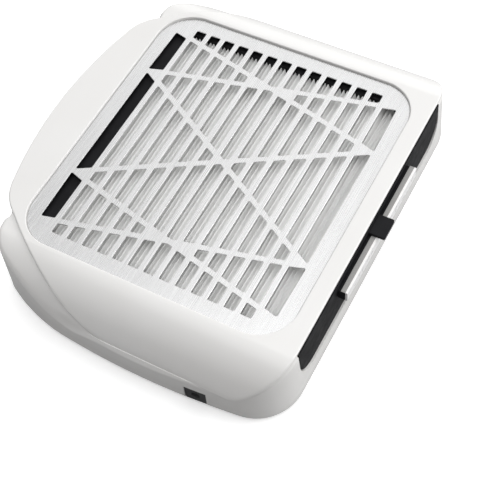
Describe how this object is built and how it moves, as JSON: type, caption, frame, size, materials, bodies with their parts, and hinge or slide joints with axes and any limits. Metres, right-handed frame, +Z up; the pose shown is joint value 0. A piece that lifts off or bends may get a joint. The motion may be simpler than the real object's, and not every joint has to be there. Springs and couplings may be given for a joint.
{
  "type": "nail dust collector",
  "caption": "Flat desktop nail dust extractor: rounded white shell, slotted metal grille over a pull-out pleated filter cassette, centrifugal fan below.",
  "frame": {"origin": "middle of the overall outline, on the plane of the feet", "axes": "+Z up out of the grille; -Y is the side the filter cassette pulls out of; +X runs along the cassette front, with the power inlet on -X and the switch on +X"},
  "size_m": [0.298, 0.259, 0.055],
  "materials": {
    "shell_white": "glossy warm white moulded ABS",
    "grille_steel": "satin stainless sheet",
    "frame_black": "charcoal moulded plastic, fine texture",
    "filter_paper": "off-white pleated non-woven filter paper",
    "pad_grey": "grey closed-cell foam",
    "deck_grey": "grey moulded plastic",
    "fan_black": "black glass-filled nylon",
    "steel": "zinc-plated steel",
    "magnet": "dark bonded ferrite",
    "copper": "enamelled copper wire",
    "board_green": "solder-masked glass-fibre board",
    "jack_black": "black moulded socket",
    "contact_brass": "plated contact metal",
    "lead_red": "flexible wire insulation",
    "foot_rubber": "black rubber"
  },
  "bodies": {
    "housing": {"upper_shell": "shell_white", "lower_shell": "shell_white", "grille_plate": "grille_steel", "filter_gasket": "pad_grey", "filter_deck": "deck_grey", "filter_rail_left": "deck_grey", "filter_rail_right": "deck_grey", "rear_stop": "deck_grey", "inlet_guard": "deck_grey", "fan_scroll": "deck_grey", "scroll_cover": "deck_grey", "motor_base": "steel", "bearing_lower": "contact_brass", "bearing_upper": "contact_brass", "stator_core": "steel", "stator_windings": "copper", "control_board": "board_green", "board_parts": "jack_black", "dc_jack_body": "jack_black", "dc_centre_pin": "contact_brass", "dc_terminals": "contact_brass", "switch_body": "jack_black", "rocker_pin": "steel", "switch_terminals": "contact_brass", "switch_leads": "lead_red", "motor_leads": "lead_red", "housing_screws": "steel", "deck_screws": "steel", "board_screws": "steel", "rubber_feet": "foot_rubber"},
    "filter_cassette": {"filter_frame": "frame_black", "pleated_media": "filter_paper", "media_grid": "frame_black", "pull_lip": "frame_black", "lip_facing": "shell_white", "lip_pad": "pad_grey", "pull_tab": "frame_black"},
    "fan_rotor": {"impeller": "fan_black", "rotor_cup": "steel", "rotor_magnet": "magnet", "fan_shaft": "steel"},
    "rocker": {"power_rocker": "jack_black"}
  },
  "joints": [
    {"name": "cassette_slide", "type": "slide", "parent": "housing", "child": "filter_cassette", "axis": [0, -1, 0], "range_m": [0, 0.205]},
    {"name": "fan_spin", "type": "hinge", "parent": "housing", "child": "fan_rotor", "pos_m": [-0.02, -0.0094, 0.014], "axis": [0, 0, 1], "continuous": true},
    {"name": "rocker_switch", "type": "hinge", "parent": "housing", "child": "rocker", "pos_m": [0.14221, -0.05985, 0.013], "axis": [0, 0, 1], "range_deg": [0, 18]}
  ]
}
